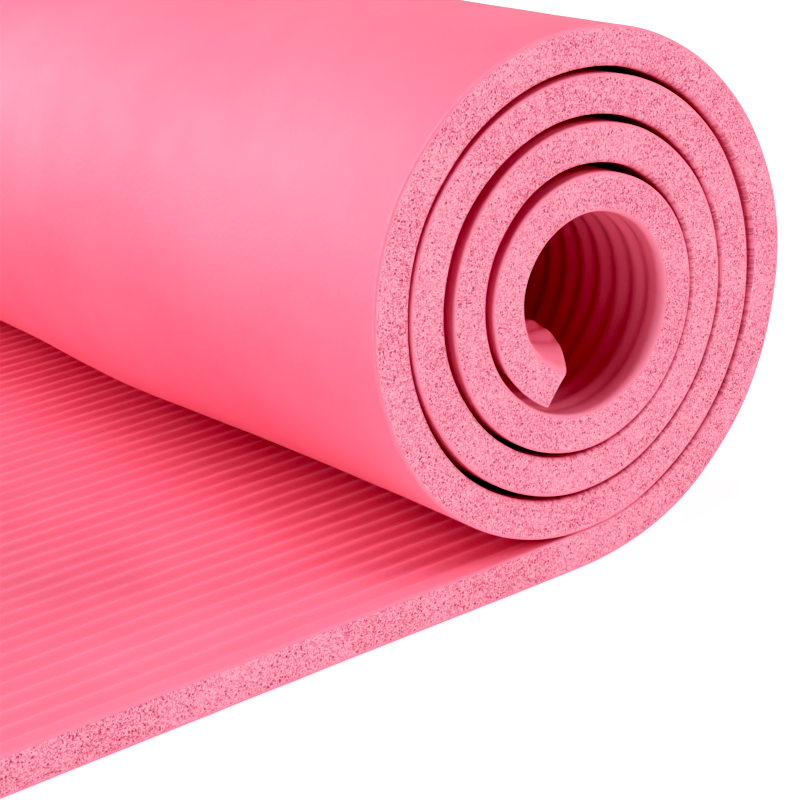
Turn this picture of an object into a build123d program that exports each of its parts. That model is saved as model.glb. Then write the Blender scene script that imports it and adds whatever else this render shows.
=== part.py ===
from build123d import *
from math import cos, pi, radians, sin
import os

# A roll-up exercise mat of closed-cell foam, partly rolled: one end lies flat on the
# floor and the rest is wound into a loose roll. +X runs along the mat towards the
# roll, +Y across it and +Z up. The rolled part is made as short lengths that hinge on
# the outer skin, so that it can be unrolled. The free end is made as short lengths that
# hinge on the upper skin, so that it can be lifted.

# The sheet
MAT_LENGTH = 1830.0
MAT_WIDTH = 610.0
MAT_THICKNESS = 10.0

# The roll, measured on the outer skin of the sheet
ROLL_START_RADIUS = 72.7
LAYER_PITCH = 11.2
ROLL_TURNS = 3.92

# Each inner turn lies a little further over to one side, as a loose roll does
DRIFT_PER_TURN = 0.8
DRIFT_DIRECTION = -35.0

# Lengths of sheet that the roll is divided into
ROLL_PIECES = 54

# Lengths of sheet at the free end, which can be lifted
END_PIECES = 5
END_PIECE_LENGTH = 40.0

# Rounding of the mat's outer corners, seen from above
CORNER_RADIUS = 6.0

radius_loss = LAYER_PITCH / (2 * pi)
drift = DRIFT_PER_TURN / pi
drift_angle = radians(DRIFT_DIRECTION)
roll_angle = 2 * pi * ROLL_TURNS
roll_end_radius = ROLL_START_RADIUS - radius_loss * roll_angle


def skin_length(turned):
    """Length of outer skin from the start of the roll to where it has turned this far."""
    wound = ROLL_START_RADIUS * turned - radius_loss * turned**2 / 2
    return wound + drift * (sin(turned - drift_angle) + sin(drift_angle))


def skin_point(turned, depth):
    """A point of the rolled sheet, this deep under the outer skin, as (x, z)."""
    radius = ROLL_START_RADIUS - radius_loss * turned
    swing = 2 * turned - drift_angle
    x = radius * sin(turned) + radius_loss * (1 - cos(turned))
    x += drift / 2 * (turned * cos(drift_angle) + (sin(swing) + sin(drift_angle)) / 2)
    z = ROLL_START_RADIUS - radius * cos(turned) - radius_loss * sin(turned)
    z += drift / 2 * (turned * sin(drift_angle) + (cos(drift_angle) - cos(swing)) / 2)
    return (x - depth * sin(turned), z + depth * cos(turned))


def turned_at(step):
    """Angle turned at the end of a length: shorter lengths where the roll is tighter."""
    first = ROLL_START_RADIUS**1.5
    last = roll_end_radius**1.5
    radius = (first + (last - first) * step / ROLL_PIECES) ** (2 / 3)
    return (ROLL_START_RADIUS - radius) / radius_loss


flat_length = MAT_LENGTH - skin_length(roll_angle)
tail_length = flat_length - END_PIECES * END_PIECE_LENGTH

# Middle of the mat's whole extent along X, which is put at the origin
roll_edge = max(skin_point(radians(degree), 0)[0] for degree in range(60, 120))
centre_x = (roll_edge - flat_length) / 2


def place(point):
    return (point[0] - centre_x, point[1])


def across_width(profile):
    """Extrude an outline drawn in the XZ plane over the whole width of the mat."""
    section = Plane.XZ * make_face(profile)
    return extrude(section, MAT_WIDTH / 2, both=True)


def roll_piece(start, end):
    """One length of the wound sheet, between two angles turned."""
    middle = (start + end) / 2
    outer_start = place(skin_point(start, 0))
    outer_middle = place(skin_point(middle, 0))
    outer_end = place(skin_point(end, 0))
    inner_start = place(skin_point(start, MAT_THICKNESS))
    inner_middle = place(skin_point(middle, MAT_THICKNESS))
    inner_end = place(skin_point(end, MAT_THICKNESS))
    outer_skin = ThreePointArc(outer_start, outer_middle, outer_end)
    end_cut = Line(outer_end, inner_end)
    inner_skin = ThreePointArc(inner_end, inner_middle, inner_start)
    start_cut = Line(inner_start, outer_start)
    return across_width([outer_skin, end_cut, inner_skin, start_cut])


def flat_piece(start, end):
    """One length of the flat sheet, between two distances from the start of the roll."""
    middle = -(start + end) / 2 - centre_x
    return Pos(middle, 0, MAT_THICKNESS / 2) * Box(end - start, MAT_WIDTH, MAT_THICKNESS)


pieces = {"mat_tail": flat_piece(0, tail_length)}
for number in range(1, END_PIECES + 1):
    start = tail_length + (number - 1) * END_PIECE_LENGTH
    pieces[f"mat_end_{number:02d}"] = flat_piece(start, start + END_PIECE_LENGTH)

# The two corners of the free end are rounded
free_name = f"mat_end_{END_PIECES:02d}"
free_corners = pieces[free_name].edges().filter_by(Axis.Z).group_by(Axis.X)[0]
pieces[free_name] = fillet(free_corners, CORNER_RADIUS)

for number in range(1, ROLL_PIECES + 1):
    start = turned_at(number - 1)
    end = turned_at(number)
    pieces[f"mat_roll_{number:02d}"] = roll_piece(start, end)

# The other two corners are at the very end of the sheet, in the middle of the roll
last_name = f"mat_roll_{ROLL_PIECES:02d}"
last_piece = pieces[last_name]
last_cut = Vector(*place(skin_point(roll_angle, MAT_THICKNESS / 2)), 0)
end_corners = []
for edge in last_piece.edges().filter_by(GeomType.LINE):
    centre = edge.center()
    at_the_cut = abs(centre.X - last_cut.X) < 0.1 and abs(centre.Z - last_cut.Y) < 0.1
    if at_the_cut and abs(abs(centre.Y) - MAT_WIDTH / 2) < 0.1:
        end_corners.append(edge)
pieces[last_name] = fillet(end_corners, CORNER_RADIUS)

os.makedirs("parts", exist_ok=True)
for name, piece in pieces.items():
    export_step(piece, f"parts/{name}.step")
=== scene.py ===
from math import pi, radians

import bpy
import numpy as np
from mathutils import Matrix, Vector


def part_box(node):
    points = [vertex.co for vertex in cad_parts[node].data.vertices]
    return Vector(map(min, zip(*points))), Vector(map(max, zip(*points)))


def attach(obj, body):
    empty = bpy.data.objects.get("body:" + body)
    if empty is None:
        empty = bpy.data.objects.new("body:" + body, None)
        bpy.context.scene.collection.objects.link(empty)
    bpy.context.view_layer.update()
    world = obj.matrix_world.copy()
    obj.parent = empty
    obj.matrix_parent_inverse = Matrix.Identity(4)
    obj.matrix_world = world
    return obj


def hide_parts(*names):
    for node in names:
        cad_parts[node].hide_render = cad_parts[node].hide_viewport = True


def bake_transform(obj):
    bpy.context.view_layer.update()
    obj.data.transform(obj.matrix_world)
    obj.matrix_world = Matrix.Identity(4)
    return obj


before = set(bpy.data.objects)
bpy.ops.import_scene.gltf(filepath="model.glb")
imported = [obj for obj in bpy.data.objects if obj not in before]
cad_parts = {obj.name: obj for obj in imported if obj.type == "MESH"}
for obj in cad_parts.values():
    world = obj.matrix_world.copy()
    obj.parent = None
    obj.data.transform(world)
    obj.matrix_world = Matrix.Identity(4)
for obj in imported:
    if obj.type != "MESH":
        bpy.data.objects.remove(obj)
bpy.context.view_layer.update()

# ---------------------------------------------------------------- sizes, in metres
MM = 0.001
LAYER_PITCH = 11.2 * MM
ROLL_START_RADIUS = 72.7 * MM
ROLL_TURNS = 3.92
DRIFT_PER_TURN = 0.8 * MM
DRIFT_DIRECTION = radians(-35.0)
ROLL_PIECES = 54
END_PIECES = 5
END_PIECE_LENGTH = 40.0 * MM
# corners of the sheet, seen from above: at the free end, and at the tip in the middle of the roll
CORNER_RADIUS = 6.0 * MM
TIP_RADIUS = 1.6 * MM
CORNER_REACH = 22.0 * MM

RIB_PITCH = 6.695 * MM
RIB_COUNT = 89
RIB_CREST = 0.15 * MM
RIB_DROP = 1.0 * MM
MARGIN_LEVEL = 0.08 * MM
MARGIN_RISE = 2.6 * MM
RIB_SHARPNESS, RIB_SHARPNESS_LOSS = 1.5, 0.4
RIB_FADE_AT_FREE_END, RIB_FADE_AT_TIP = 1.5 * MM, 2.6 * MM
POINTS_PER_RIB = 6
EDGE_ROUNDING = 0.55 * MM
END_ROUNDING = 1.3 * MM
CUT_HOLLOW = 0.22 * MM
CORNER_SEGMENTS = 3
CUT_SEGMENTS = 6
ROLL_STEPS = 14
TAIL_STEP = 8.0 * MM

# how the soft turns sit: (turns wound, millimetres pressed towards the middle of the roll)
PRESSED_IN = ((0.0, 0.0), (0.12, -0.5), (0.27, -0.7), (0.42, -0.3), (0.55, 0.2), (0.75, 1.1), (0.90, -0.3),
              (1.0, -0.55), (1.25, 0.2), (1.5, 0.0), (1.7, -0.3), (1.87, 0.45), (2.05, -0.35), (2.25, 0.1),
              (2.5, 0.35), (2.72, 0.8), (2.87, 0.8), (3.05, -0.35), (3.25, -0.1), (3.5, 1.2), (3.75, 1.4),
              (3.84, 0.9), (3.95, 0.45))
# extra rounding of the inner skin's edge: (turns wound, millimetres)
SOFT_EDGE = ((0.0, 0.0), (0.12, 0.5), (0.45, 0.5), (0.6, 0.0), (1.05, 0.2), (1.3, 0.4), (1.6, 0.0),
             (2.05, 0.2), (2.3, 0.5), (2.6, 0.0), (3.0, 0.4), (3.2, 1.4), (3.4, 0.5), (3.55, 0.0),
             (3.92, 0.0))
# the loose outer turn sags a little behind the near edge
SAG_HEIGHT, SAG_TURN, SAG_SPREAD = 2.9 * MM, 0.875, 0.045
SAG_Y, SAG_WIDTH = -0.150, 0.055
# the tip curls further in than its near corner does
TIP_LIFT, TIP_LENGTH, TIP_RISE = 10.5 * MM, 38.0 * MM, 6.0 * MM
# how far the tip goes on past the end of the CAD length
TIP_REACH = 4.0 * MM
# bent this tightly, the inner skin pushes out past the outer one at the cut end
TIP_SLANT, SLANT_LENGTH = 3.4 * MM, 12.0 * MM

tail_low, tail_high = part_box("mat_tail")
ROLL_START_X = tail_high.x
HALF_WIDTH = tail_high.y
THICKNESS = tail_high.z
TAIL_LOW_X = tail_low.x
FREE_END_X = TAIL_LOW_X - END_PIECES * END_PIECE_LENGTH

# ---------------------------------------------------------------- the roll's curve
RADIUS_LOSS = LAYER_PITCH / (2 * pi)
DRIFT = DRIFT_PER_TURN / pi
ROLL_ANGLE = 2 * pi * ROLL_TURNS
ROLL_END_RADIUS = ROLL_START_RADIUS - RADIUS_LOSS * ROLL_ANGLE


def wound_length(turned):
    wound = ROLL_START_RADIUS * turned - RADIUS_LOSS * turned**2 / 2
    return wound + DRIFT * (np.sin(turned - DRIFT_DIRECTION) + np.sin(DRIFT_DIRECTION))


def turned_at(step):
    start, end = ROLL_START_RADIUS**1.5, ROLL_END_RADIUS**1.5
    radius = (start + (end - start) * step / ROLL_PIECES) ** (2 / 3)
    return (ROLL_START_RADIUS - radius) / RADIUS_LOSS


ROLL_LENGTH = float(wound_length(ROLL_ANGLE)) + TIP_REACH
TIP_ANGLE = ROLL_ANGLE + TIP_REACH / ROLL_END_RADIUS
FREE_END_LENGTH = FREE_END_X - ROLL_START_X


def path(place):
    """Outer skin point, direction and length along the mat.

    place < 0 is the flat part, in start radii; place > 0 is the angle wound.
    """
    turned = np.maximum(place, 0.0)
    flat = np.minimum(place, 0.0) * ROLL_START_RADIUS
    radius = ROLL_START_RADIUS - RADIUS_LOSS * turned
    swing = 2 * turned - DRIFT_DIRECTION
    x = radius * np.sin(turned) + RADIUS_LOSS * (1 - np.cos(turned))
    x += DRIFT / 2 * (turned * np.cos(DRIFT_DIRECTION) + (np.sin(swing) + np.sin(DRIFT_DIRECTION)) / 2)
    z = ROLL_START_RADIUS - radius * np.cos(turned) - RADIUS_LOSS * np.sin(turned)
    z += DRIFT / 2 * (turned * np.sin(DRIFT_DIRECTION) + (np.cos(DRIFT_DIRECTION) - np.cos(swing)) / 2)
    return ROLL_START_X + x + flat, z, turned, flat + wound_length(turned)


def skin_point(place, depth):
    x, z, turned, _ = path(np.float64(place))
    return Vector((x - depth * np.sin(turned), 0.0, z + depth * np.cos(turned)))


# ---------------------------------------------------------------- the mat's cross section
rib_y = np.arange(-(RIB_COUNT // 2) * POINTS_PER_RIB - POINTS_PER_RIB // 2,
                  (RIB_COUNT // 2) * POINTS_PER_RIB + POINTS_PER_RIB // 2 + 1) * RIB_PITCH / POINTS_PER_RIB
groove_y = rib_y[-1]
margin_y = np.linspace(groove_y, HALF_WIDTH - EDGE_ROUNDING, 6)[1:]
inner_y = np.concatenate([-margin_y[::-1], rib_y, margin_y])
crest_y = np.arange(-(RIB_COUNT // 2), RIB_COUNT // 2 + 1) * RIB_PITCH
outer_y = np.concatenate([[-margin_y[-1]], crest_y, [margin_y[-1]]])

corner = np.linspace(0, pi / 2, CORNER_SEGMENTS + 1)[1:]
corner_in, corner_out = EDGE_ROUNDING * (1 - np.cos(corner)), EDGE_ROUNDING * np.sin(corner)
cut_depth = np.linspace(THICKNESS - EDGE_ROUNDING, EDGE_ROUNDING, CUT_SEGMENTS + 1)[1:]

side_y = np.concatenate([margin_y[-1] + corner_out, np.full(CUT_SEGMENTS, HALF_WIDTH),
                         HALF_WIDTH - corner_in])
side_d = np.concatenate([THICKNESS - corner_in, cut_depth, EDGE_ROUNDING - corner_out])
# how far a section point goes when the inner skin's edge is rounder by one unit
margin_pull = np.clip((np.abs(inner_y) - groove_y) / (margin_y[-1] - groove_y), 0, 1)
cut_pull = np.clip((cut_depth - EDGE_ROUNDING) / (THICKNESS - 2 * EDGE_ROUNDING), 0, 1)
side_pull_y = np.concatenate([1 - np.sin(corner), np.zeros(CUT_SEGMENTS + CORNER_SEGMENTS)])
side_pull_d = np.concatenate([1 - np.cos(corner), cut_pull, np.zeros(CORNER_SEGMENTS)])
pull_y = np.concatenate([margin_pull, side_pull_y, np.zeros(len(outer_y) - 1), side_pull_y[::-1][1:]])
pull_d = np.concatenate([0 * inner_y, side_pull_d, np.zeros(len(outer_y) - 1), side_pull_d[::-1][1:]])
section_y = np.concatenate([inner_y, side_y, outer_y[::-1][1:], -side_y[::-1][1:]])
section_d = np.concatenate([np.full(len(inner_y), THICKNESS), side_d,
                            np.zeros(len(outer_y) - 1), side_d[::-1][1:]])
SECTION = len(section_y)
on_inner = np.clip((section_d / THICKNESS - 0.5) * 2, 0, 1)

rng = np.random.default_rng(11)


def waves(count, longest, shortest, along=1.0):
    """A gentle unevenness with no repeat in sight: a sum of plane waves, about 1 high at most."""
    length = np.exp(rng.uniform(np.log(shortest), np.log(longest), count))
    heading = rng.uniform(0, pi, count)
    return np.stack([2 * pi / length * np.cos(heading) * along, 2 * pi / length * np.sin(heading),
                     rng.uniform(0, 2 * pi, count)])


def uneven(s, y, table):
    total = 0.0
    for a, b, c in table.T:
        total = total + np.sin(a * s + b * y + c)
    return total / np.sqrt(table.shape[1])


swell = waves(7, 0.30, 0.09)
dimple = waves(9, 0.06, 0.018)
sway = waves(6, 0.22, 0.05)
rib_tone = waves(7, 0.08, 0.02)
edge_run = waves(6, 0.12, 0.02)


def eased(value, points):
    """A smooth run through given points."""
    at = np.array([p[0] for p in points])
    to = np.array([p[1] for p in points])
    k = np.clip(np.searchsorted(at, value, side="right") - 1, 0, len(at) - 2)
    t = np.clip((value - at[k]) / (at[k + 1] - at[k]), 0, 1)
    return to[k] + (to[k + 1] - to[k]) * t * t * (3 - 2 * t)


def step_up(value, low, high):
    t = np.clip((value - low) / (high - low), 0, 1)
    return t * t * (3 - 2 * t)


def surface(place):
    """Every point of the cross sections at these places, shape (places, section, 3)."""
    x0, z0, turned, s = [v[:, None] for v in path(np.asarray(place, float))]
    y, depth = section_y[None, :], section_d[None, :]
    to_end = np.minimum(s - FREE_END_LENGTH, ROLL_LENGTH - s)
    # the free ends: corners rounded in plan, edges rounded in depth
    bend = np.where(s > 0, TIP_RADIUS, CORNER_RADIUS)
    short = np.clip(bend - to_end, 0, bend)
    plan = bend - np.sqrt(bend**2 - short**2)
    by_edge = np.clip((np.abs(y) - HALF_WIDTH + CORNER_REACH) / CORNER_REACH, 0, 1)
    lip = np.clip(END_ROUNDING - to_end, 0, END_ROUNDING)
    pinch = END_ROUNDING - np.sqrt(END_ROUNDING**2 - lip**2)
    # ribs on the inner skin
    lateral = 0.16 * MM * uneven(s, y, sway)
    groove = 0.5 - 0.5 * np.cos(2 * pi * (y + lateral) / RIB_PITCH)
    # the ribs look broader where the sheet is bent most
    sharpness = RIB_SHARPNESS - RIB_SHARPNESS_LOSS * step_up(turned / (2 * pi), 2.6, 3.2)
    rib_height = RIB_CREST - RIB_DROP * groove**sharpness * (1 + 0.12 * uneven(s, y, rib_tone))
    rise = np.clip((np.abs(y) - groove_y) / MARGIN_RISE, 0, 1)
    rise = rise * rise * (3 - 2 * rise)
    rib_height = rib_height * (1 - rise) + MARGIN_LEVEL * rise
    fade = np.where(s > 0, RIB_FADE_AT_TIP, RIB_FADE_AT_FREE_END)
    rib_height = rib_height * np.clip(to_end / fade, 0.12, 1)
    soft = 0.10 * MM * uneven(s, y, swell) + 0.05 * MM * uneven(s, y, dimple)
    turns = turned / (2 * pi)
    rounder = MM * eased(turns, SOFT_EDGE)
    y = y - np.sign(y) * rounder * pull_y
    depth = depth - rounder * pull_d
    depth = depth + on_inner[None, :] * rib_height + soft
    middle = THICKNESS / 2
    depth = middle + (depth - middle) * (1 - pinch / middle)
    hollow = CUT_HOLLOW * np.sin(pi * np.clip(section_d[None, :] / THICKNESS, 0, 1))
    at_cut = np.clip((np.abs(y) - HALF_WIDTH + 2.0 * MM) / (2.0 * MM), 0, 1)
    inset = hollow * at_cut + plan * by_edge
    run = 0.16 * MM * uneven(s, y, edge_run) * np.clip((np.abs(y) - 0.29) / 0.015, 0, 1)
    sag = SAG_HEIGHT * np.exp(-((turns - SAG_TURN) / SAG_SPREAD) ** 2 - ((y - SAG_Y) / SAG_WIDTH) ** 2)
    tip = step_up(TIP_LENGTH - ROLL_LENGTH + s, 0, TIP_LENGTH) ** 1.5
    tip = tip * (1 - np.exp(-np.maximum(y + HALF_WIDTH, 0) / TIP_RISE))
    tip = tip * (1 - 0.35 * step_up(y + HALF_WIDTH, 0.03, 0.2))
    depth = depth + MM * eased(turns, PRESSED_IN) - sag + TIP_LIFT * tip
    y = y - np.sign(y) * inset + run
    slant = TIP_SLANT * step_up(s, ROLL_LENGTH - SLANT_LENGTH, ROLL_LENGTH)
    slant = slant * (section_d[None, :] / THICKNESS - 0.5)
    x = x0 - depth * np.sin(turned) + slant * np.cos(turned)
    z = z0 + depth * np.cos(turned) + slant * np.sin(turned)
    return np.stack([x, y + 0 * depth, z], -1)


def normals_at(place):
    """Normals of the one surface, so they are the same on both sides of a join."""
    place = np.asarray(place, float)
    gap = 0.0004 / ROLL_START_RADIUS
    along = surface(place + gap) - surface(place - gap)
    across = surface(place)
    across = np.roll(across, -1, 1) - np.roll(across, 1, 1)
    normal = np.cross(along, across)
    return normal / np.linalg.norm(normal, axis=-1, keepdims=True)


SKIN, CUT = 0, 1
inner_count = len(inner_y)
side_count = len(side_y)
first_cut = inner_count - 1 + CORNER_SEGMENTS
segment_material = np.full(SECTION, SKIN)
segment_material[first_cut:first_cut + CUT_SEGMENTS] = CUT
second_cut = SECTION - side_count + CORNER_SEGMENTS
segment_material[second_cut:second_cut + CUT_SEGMENTS] = CUT

# the closing faces, as runs of section points: one between neighbouring crests, and one at each side
outer_index = {}
first_outer = inner_count - 1 + side_count
for number, index in enumerate(range(first_outer, first_outer + len(outer_y))):
    outer_index[len(outer_y) - 1 - number] = index % SECTION
first_crest = int(np.argmin(np.abs(inner_y - crest_y[0])))
cap_runs = []
for k in range(RIB_COUNT - 1):
    inner_run = [first_crest + POINTS_PER_RIB * k + i for i in range(POINTS_PER_RIB + 1)]
    cap_runs.append(inner_run + [outer_index[k + 2], outer_index[k + 1]])
last_crest = first_crest + POINTS_PER_RIB * (RIB_COUNT - 1)
cap_runs.append(list(range(last_crest, outer_index[RIB_COUNT] + 1)))
cap_runs.append([i % SECTION for i in range(outer_index[1], SECTION + first_crest + 1)])


def strip(name, places):
    """A closed length of mat through these places, with normals that carry on into the next length."""
    places = np.asarray(places, float)
    points = surface(places)
    normals = normals_at(places)
    rows = len(places)
    index = np.arange(rows * SECTION).reshape(rows, SECTION)
    turn = np.roll(index, -1, 1)
    quads = np.stack([index[:-1], index[1:], turn[1:], turn[:-1]], -1).reshape(-1, 4)
    faces = quads.tolist()
    materials = np.tile(segment_material, rows - 1).tolist()
    last = (rows - 1) * SECTION
    for run in cap_runs:
        faces.append(run)
        faces.append([last + i for i in reversed(run)])
        materials += [CUT, CUT]
    mesh = bpy.data.meshes.new(name)
    mesh.from_pydata(points.reshape(-1, 3).tolist(), [], faces)
    mesh.polygons.foreach_set("material_index", materials)
    mesh.polygons.foreach_set("use_smooth", [True] * len(faces))
    _, _, _, s = path(places)
    spot = np.empty((rows, SECTION, 3), np.float32)
    spot[..., 0] = s[:, None]
    spot[..., 1] = section_y
    spot[..., 2] = section_d
    mesh.attributes.new("mat_place", "FLOAT_VECTOR", "POINT").data.foreach_set("vector", spot.ravel())
    flat = normals.reshape(-1, 3)
    loops = flat[quads.ravel()]
    ends = []
    for row, side in ((0, -1.0), (rows - 1, 1.0)):
        _, _, turned, _ = path(places[row:row + 1])
        ends.append(side * np.array([np.cos(turned[0]), 0.0, np.sin(turned[0])]))
    cap_loops = []
    for run in cap_runs:
        cap_loops += [ends[0]] * len(run)
        cap_loops += [ends[1]] * len(run)
    mesh.normals_split_custom_set(np.concatenate([loops, np.array(cap_loops)]).tolist())
    obj = bpy.data.objects.new(name, mesh)
    bpy.context.scene.collection.objects.link(obj)
    mesh.materials.append(skin_material)
    mesh.materials.append(cut_material)
    return obj


# ---------------------------------------------------------------- materials
class Nodes:
    """A short way to lay down shader nodes."""

    def __init__(self, name):
        self.material = bpy.data.materials.new(name)
        self.material.use_nodes = True
        self.tree = self.material.node_tree
        self.shader = self.tree.nodes["Principled BSDF"]
        place = self.add("ShaderNodeAttribute")
        place.attribute_name = "mat_place"
        self.place = place.outputs["Vector"]
        parts = self.add("ShaderNodeSeparateXYZ", {"Vector": self.place})
        self.along, self.across, self.depth = parts.outputs

    def add(self, kind, inputs=None, **settings):
        made = self.tree.nodes.new(kind)
        for key, value in settings.items():
            setattr(made, key, value)
        for key, value in (inputs or {}).items():
            self.feed(made.inputs[key], value)
        return made

    def feed(self, socket, value):
        if isinstance(value, bpy.types.NodeSocket):
            self.tree.links.new(value, socket)
        else:
            socket.default_value = value

    def math(self, operation, a, b=0.0, c=0.0):
        return self.add("ShaderNodeMath", {0: a, 1: b, 2: c}, operation=operation).outputs[0]

    def noise(self, scale, detail=2.0, roughness=0.5, stretch=None, offset=(0, 0, 0)):
        mapping = self.add("ShaderNodeMapping", {"Vector": self.place, "Location": offset,
                                                 "Scale": stretch or (1, 1, 1)})
        made = self.add("ShaderNodeTexNoise", {"Vector": mapping.outputs[0], "Scale": scale,
                                               "Detail": detail, "Roughness": roughness})
        return made.outputs["Fac"]

    def cells(self, scale, offset=(0, 0, 0)):
        mapping = self.add("ShaderNodeMapping", {"Vector": self.place, "Location": offset})
        return self.add("ShaderNodeTexVoronoi", {"Vector": mapping.outputs[0], "Scale": scale})

    def ramp(self, value, low, high, to_low=0.0, to_high=1.0, smooth=True):
        made = self.add("ShaderNodeMapRange", {"Value": value, "From Min": low, "From Max": high,
                                               "To Min": to_low, "To Max": to_high},
                        interpolation_type="SMOOTHSTEP" if smooth else "LINEAR")
        return made.outputs["Result"]

    def mix(self, fac, a, b, blend="MIX"):
        made = self.add("ShaderNodeMix", data_type="RGBA", blend_type=blend)
        self.feed(made.inputs[0], fac)
        self.feed(made.inputs[6], a)
        self.feed(made.inputs[7], b)
        return made.outputs[2]

    def bump(self, height, distance, strength=1.0, normal=None):
        inputs = {"Height": height, "Distance": distance, "Strength": strength}
        if normal is not None:
            inputs["Normal"] = normal
        return self.add("ShaderNodeBump", inputs).outputs["Normal"]


def colour(r, g, b):
    """A colour picked on the screen (0 to 255), as the shader's linear one."""
    shown = [v / 255 for v in (r, g, b)]
    return (*[v / 12.92 if v <= 0.04045 else ((v + 0.055) / 1.055) ** 2.4 for v in shown], 1.0)


PINK = colour(241, 136, 159)
PINK_PALE = colour(243, 141, 163)
PINK_DEEP = colour(239, 130, 154)
RIM_PINK = colour(245, 160, 186)
FOAM_PINK = colour(245, 157, 181)
FOAM_PALE = colour(252, 191, 208)
FOAM_DEEP = colour(214, 74, 114)
# painted shade: the dark red inside the foam's pores
PORE_SHADE = colour(200, 34, 88)
GRAIN_PALE = colour(246, 146, 169)
GRAIN_DEEP = colour(235, 120, 148)
# painted shade for the creases on the wound inner skin's edge
CREASE_SHADE = colour(200, 52, 98)
# the creases and their painted shade start just past the floor, and stop this many turns in
CREASE_START, CREASE_FADE = 30.0 * MM, 60.0 * MM
CREASE_END = float(wound_length(2 * pi * 2.85))


def make_skin():
    n = Nodes("mat_skin")
    broad = n.ramp(n.noise(14.0, 3.0, 0.55), 0.3, 0.7)
    base = n.mix(broad, PINK_DEEP, PINK_PALE)
    base = n.mix(n.ramp(n.noise(90.0, 3.0, 0.6, offset=(3, 1, 2)), 0.25, 0.75, 0.0, 0.55), base, PINK)
    grain = n.noise(1500.0, 2.0, 0.65)
    base = n.mix(n.ramp(grain, 0.55, 0.75, 0.0, 0.45), base, GRAIN_PALE)
    base = n.mix(n.ramp(grain, 0.25, 0.42, 0.45, 0.0), base, GRAIN_DEEP)
    side = n.math("ABSOLUTE", n.across)
    wobble = n.math("MULTIPLY_ADD", n.noise(300.0, 2.0), 0.0012, -0.0006)
    edge = n.ramp(n.math("ADD", side, wobble), HALF_WIDTH - 1.3 * MM, HALF_WIDTH - 0.2 * MM)
    base = n.mix(n.math("MULTIPLY", edge, 0.55), base, RIM_PINK)
    # short creases where the wound inner skin is pressed at its edge: a bump, and painted shade darkening
    # the crease lines
    crease = n.noise(1.0, 2.0, 0.6, stretch=(1150.0, 90.0, 90.0))
    wound = n.math("MULTIPLY", n.ramp(n.along, 0.0, CREASE_START),
                   n.ramp(n.along, CREASE_END - CREASE_FADE, CREASE_END, 1.0, 0.0))
    wound = n.math("MULTIPLY", wound, n.ramp(n.depth, THICKNESS - 1.6 * MM, THICKNESS - 0.8 * MM))
    wound = n.math("MULTIPLY", wound, n.ramp(side, HALF_WIDTH - 1.9 * MM, HALF_WIDTH - 0.7 * MM))
    crease_and_shade = n.math("MULTIPLY", n.ramp(crease, 0.48, 0.66), wound)
    # painted shade in the creases
    base = n.mix(n.math("MULTIPLY", crease_and_shade, 0.42), base, CREASE_SHADE)
    n.feed(n.shader.inputs["Base Color"], base)
    rough = n.ramp(n.noise(60.0, 3.0, 0.6, offset=(7, 2, 4)), 0.25, 0.75, 0.56, 0.66)
    rough = n.math("ADD", rough, n.ramp(grain, 0.3, 0.7, -0.03, 0.04))
    n.feed(n.shader.inputs["Roughness"], rough)
    fine = n.bump(grain, 0.00008, 0.5)
    pebble = n.noise(750.0, 1.0, 0.5, offset=(5, 5, 2))
    coarse = n.bump(pebble, 0.00018, 0.35, fine)
    slow = n.bump(n.noise(110.0, 3.0, 0.55, offset=(1, 5, 9)), 0.0004, 0.3, coarse)
    pressed = n.bump(n.math("SUBTRACT", 1.0, crease_and_shade), 0.0003, 0.9, slow)
    n.feed(n.shader.inputs["Normal"], pressed)
    n.shader.inputs["Specular IOR Level"].default_value = 0.42
    n.shader.inputs["Sheen Weight"].default_value = 0.14
    n.shader.inputs["Sheen Roughness"].default_value = 0.45
    n.shader.inputs["Sheen Tint"].default_value = (1.0, 0.72, 0.80, 1.0)
    return n.material


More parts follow.
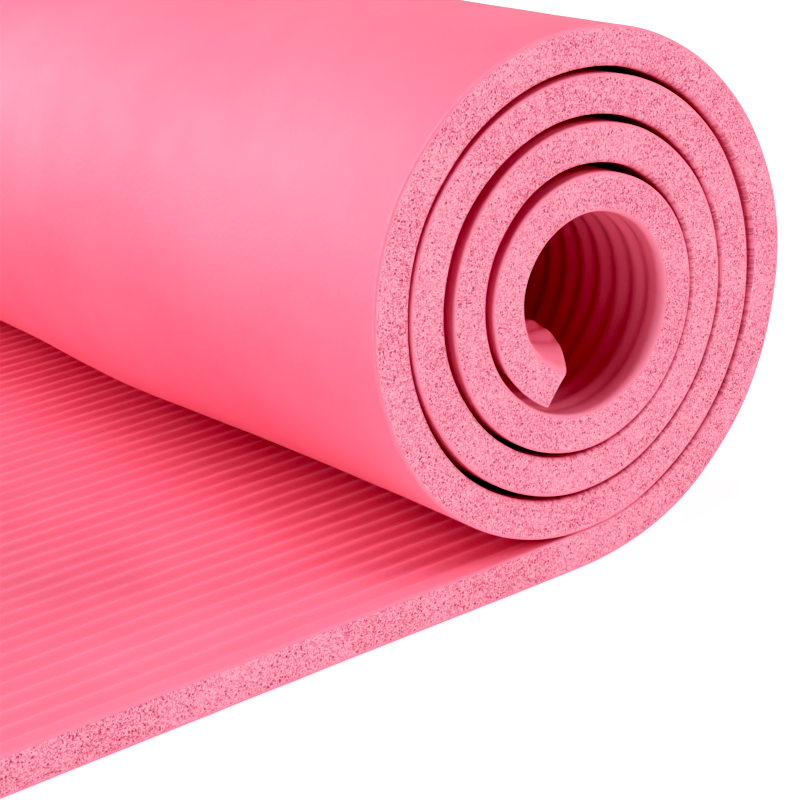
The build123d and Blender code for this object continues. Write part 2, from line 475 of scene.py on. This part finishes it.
def make_cut():
    n = Nodes("mat_cut_foam")
    speck = n.noise(2500.0, 2.0, 0.75)
    blotch = n.noise(1000.0, 2.0, 0.6, offset=(4, 4, 1))
    base = n.mix(n.ramp(speck, 0.38, 0.58), FOAM_DEEP, FOAM_PALE)
    base = n.mix(n.ramp(blotch, 0.35, 0.65, 0.1, 0.5), base, FOAM_PINK)
    broad = n.noise(40.0, 3.0, 0.55, offset=(2, 6, 3))
    base = n.mix(n.ramp(broad, 0.3, 0.7, 0.0, 0.3), base, FOAM_PALE)
    # pores on the cut face: sunk by a bump, and darkened with painted shade
    cell = n.cells(1150.0)
    pick = n.add("ShaderNodeSeparateColor", {"Color": cell.outputs["Color"]})
    wide = n.ramp(pick.outputs[0], 0.15, 1.0, 0.05, 0.42, smooth=False)
    pore = n.math("SUBTRACT", wide, cell.outputs["Distance"])
    pore = n.ramp(pore, 0.0, 0.14)
    big = n.cells(520.0, offset=(9, 1, 5))
    pick_big = n.add("ShaderNodeSeparateColor", {"Color": big.outputs["Color"]})
    wide_big = n.ramp(pick_big.outputs[1], 0.72, 1.0, 0.0, 0.22, smooth=False)
    pore_big = n.ramp(n.math("SUBTRACT", wide_big, big.outputs["Distance"]), 0.0, 0.10)
    inside = n.math("MULTIPLY", n.ramp(n.depth, 0.6 * MM, 1.1 * MM),
                    n.ramp(n.depth, THICKNESS - 0.9 * MM, THICKNESS - 0.3 * MM, 1.0, 0.0))
    holes_and_shade = n.math("MULTIPLY", n.math("MAXIMUM", n.math("MULTIPLY", pore, 0.72), pore_big), inside)
    base = n.mix(holes_and_shade, base, PORE_SHADE)
    rim = n.ramp(n.math("ABSOLUTE", n.math("SUBTRACT", n.depth, 0.75 * MM)), 0.1 * MM, 0.35 * MM, 0.5, 0.0)
    base = n.mix(rim, base, RIM_PINK)
    n.feed(n.shader.inputs["Base Color"], base)
    n.feed(n.shader.inputs["Roughness"], n.ramp(speck, 0.3, 0.7, 0.78, 0.92))
    rough_cut = n.bump(speck, 0.00018, 0.6)
    lumps = n.bump(blotch, 0.00035, 0.5, rough_cut)
    sunk = n.bump(n.math("SUBTRACT", 1.0, holes_and_shade), 0.0003, 0.8, lumps)
    n.feed(n.shader.inputs["Normal"], sunk)
    n.shader.inputs["Specular IOR Level"].default_value = 0.15
    n.shader.inputs["Sheen Weight"].default_value = 0.05
    n.shader.inputs["Sheen Roughness"].default_value = 0.6
    n.shader.inputs["Sheen Tint"].default_value = (1.0, 0.80, 0.86, 1.0)
    return n.material


skin_material = make_skin()
cut_material = make_cut()

# ---------------------------------------------------------------- the mat, length by length
# where a wound length's bend starts and ends is taken just past the inner skin
CHORD_DEPTH = THICKNESS + 1.0 * MM
# the roll's first length starts this far before the sheet leaves the floor
LEAD_IN = 12.0 * MM
END_PIECE_ROWS = 17
# rows at both cut ends of the sheet, closest where the end is rounded
END_ROWS = np.array([0.0, 0.08, 0.25, 0.5, 0.85, 1.3, 2.2, 3.4, 4.7, 6.0]) * MM


def finish_piece(node):
    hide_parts(node)


def place_of_x(x):
    return (x - ROLL_START_X) / ROLL_START_RADIUS


middles = [(turned_at(k) + turned_at(k + 1)) / 2 for k in range(ROLL_PIECES)]
lead_in = place_of_x(ROLL_START_X - LEAD_IN)
lead_out = place_of_x(TAIL_LOW_X + END_PIECE_LENGTH / 2)

tail_rows = int(round((lead_in - lead_out) * ROLL_START_RADIUS / TAIL_STEP)) + 1
tail = strip("tail_mat", np.linspace(lead_out, lead_in, tail_rows))
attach(tail, "tail")
finish_piece("mat_tail")

for k in range(ROLL_PIECES):
    start = lead_in if k == 0 else middles[k - 1]
    end = middles[k]
    steps = np.linspace(start, end, ROLL_STEPS + 1)
    if k == 0:
        steps = np.unique(np.concatenate([steps, [0.0]]))
    if k == ROLL_PIECES - 1:
        close = TIP_ANGLE - END_ROWS[::-1] / ROLL_END_RADIUS
        steps = np.concatenate([np.linspace(start, close[0], ROLL_STEPS * 2)[:-1], close])
        end = TIP_ANGLE
    piece = strip(f"roll_mat_{k + 1:02d}", steps)
    skin_point(start, CHORD_DEPTH)
    skin_point(min(end, middles[k]), CHORD_DEPTH)
    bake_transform(piece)
    finish_piece(f"mat_roll_{k + 1:02d}")

for k in range(END_PIECES):
    start_x = TAIL_LOW_X + END_PIECE_LENGTH * (0.5 - k)
    end_x = start_x - END_PIECE_LENGTH
    steps = np.linspace(place_of_x(end_x), place_of_x(start_x), END_PIECE_ROWS)
    if k == END_PIECES - 1:
        close = place_of_x(FREE_END_X) + END_ROWS / ROLL_START_RADIUS
        steps = np.concatenate([close, np.linspace(close[-1], place_of_x(start_x), 22)[1:]])
    piece = strip(f"end_mat_{k + 1:02d}", steps)
    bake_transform(piece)
    finish_piece(f"mat_end_{k + 1:02d}")

# ---------------------------------------------------------------- floor, light and camera
FLOOR_GLOW = (1.0, 0.992, 0.965, 1.0)
FLOOR_GLOW_STRENGTH, ROOM_STRENGTH = 0.72, 0.06
# heights in the sky, as the sine of the elevation
BAND_TOP, BAND_FADED = 0.13, 0.24
FLOOR_REACH, FLOOR_GAP = 12.0, 0.6 * MM


def floor():
    mesh = bpy.data.meshes.new("floor")
    corners = [(-FLOOR_REACH, -FLOOR_REACH, 0), (FLOOR_REACH, -FLOOR_REACH, 0),
               (FLOOR_REACH, FLOOR_REACH, 0), (-FLOOR_REACH, FLOOR_REACH, 0)]
    mesh.from_pydata(corners, [], [(0, 1, 2, 3)])
    obj = bpy.data.objects.new("floor", mesh)
    bpy.context.scene.collection.objects.link(obj)
    obj.location.z = -FLOOR_GAP
    material = bpy.data.materials.new("floor_white")
    material.use_nodes = True
    shader = material.node_tree.nodes["Principled BSDF"]
    shader.inputs["Base Color"].default_value = (0.60, 0.595, 0.585, 1.0)
    shader.inputs["Roughness"].default_value = 0.9
    shader.inputs["Specular IOR Level"].default_value = 0.1
    shader.inputs["Emission Color"].default_value = FLOOR_GLOW
    shader.inputs["Emission Strength"].default_value = FLOOR_GLOW_STRENGTH
    mesh.materials.append(material)


def area_light(name, location, aim, side, power):
    light = bpy.data.lights.new(name, "AREA")
    light.shape = "SQUARE"
    light.size = side
    light.energy = power
    obj = bpy.data.objects.new(name, light)
    obj.location = location
    direction = Vector(aim) - Vector(location)
    obj.rotation_euler = direction.to_track_quat("-Z", "Y").to_euler()
    bpy.context.scene.collection.objects.link(obj)


def studio_world():
    """A dim room with a pale band above the floor's edge, where the low views look."""
    world = bpy.data.worlds.new("studio")
    world.use_nodes = True
    nodes, links = world.node_tree.nodes, world.node_tree.links
    sky = nodes["Background"]
    sky.inputs["Color"].default_value = FLOOR_GLOW
    direction = nodes.new("ShaderNodeTexCoord")
    split = nodes.new("ShaderNodeSeparateXYZ")
    band = nodes.new("ShaderNodeMapRange")
    band.interpolation_type = "SMOOTHSTEP"
    for socket, value in zip(band.inputs[1:5], (BAND_TOP, BAND_FADED, FLOOR_GLOW_STRENGTH, ROOM_STRENGTH)):
        socket.default_value = value
    links.new(direction.outputs["Generated"], split.inputs[0])
    links.new(split.outputs["Z"], band.inputs["Value"])
    links.new(band.outputs["Result"], sky.inputs["Strength"])
    bpy.context.scene.world = world


floor()
studio_world()

roll_middle = Vector((ROLL_START_X, 0.0, ROLL_START_RADIUS))


def light_from(name, heading, distance, side, power):
    """A softbox that looks at the roll from this direction."""
    area_light(name, roll_middle + Vector(heading).normalized() * distance, roll_middle, side, power)


light_from("top", (-0.15, -0.10, 0.98), 2.2, 1.3, 25.5)
light_from("key", (-0.55, -0.08, 0.83), 2.2, 1.3, 6.5)
light_from("back", (-0.50, 0.75, 0.43), 2.2, 1.2, 32.0)
light_from("left", (-0.92, -0.04, 0.36), 2.4, 1.3, 18.5)
light_from("side", (0.66, -0.62, 0.42), 2.4, 1.3, 30.0)

SHADOW_LEVEL = 0.045
CAMERA_AZIMUTH = radians(35.58)
CAMERA_ELEVATION = radians(19.88)
CAMERA_ROLL = radians(-4.33)
CAMERA_PLACE = (-0.0931, -0.7138, 0.2429)
CAMERA_LENS = 101.6

camera_data = bpy.data.cameras.new("camera")
camera_data.lens = CAMERA_LENS
camera_data.sensor_width = 36.0
camera_data.clip_start = 0.02
camera_data.clip_end = 50.0
camera = bpy.data.objects.new("camera", camera_data)
ca, sa = np.cos(CAMERA_AZIMUTH), np.sin(CAMERA_AZIMUTH)
ce, se = np.cos(CAMERA_ELEVATION), np.sin(CAMERA_ELEVATION)
forward = np.array([sa * ce, ca * ce, -se])
right = np.array([ca, -sa, 0.0])
up = np.cross(right, forward)
cr, sr = np.cos(CAMERA_ROLL), np.sin(CAMERA_ROLL)
camera_x, camera_y = cr * right + sr * up, -sr * right + cr * up
turn = Matrix([[camera_x[i], camera_y[i], -forward[i]] for i in range(3)])
camera.matrix_world = Matrix.Translation(CAMERA_PLACE) @ turn.to_4x4()
bpy.context.scene.collection.objects.link(camera)
bpy.context.scene.camera = camera

# the photo's contrast: deep shadows, clear lit parts
view = bpy.context.scene.view_settings
view.view_transform = "Standard"
view.gamma = 0.8
view.use_curve_mapping = True
view.curve_mapping.black_level = (SHADOW_LEVEL, SHADOW_LEVEL, SHADOW_LEVEL)
view.curve_mapping.update()

bpy.context.view_layer.update()
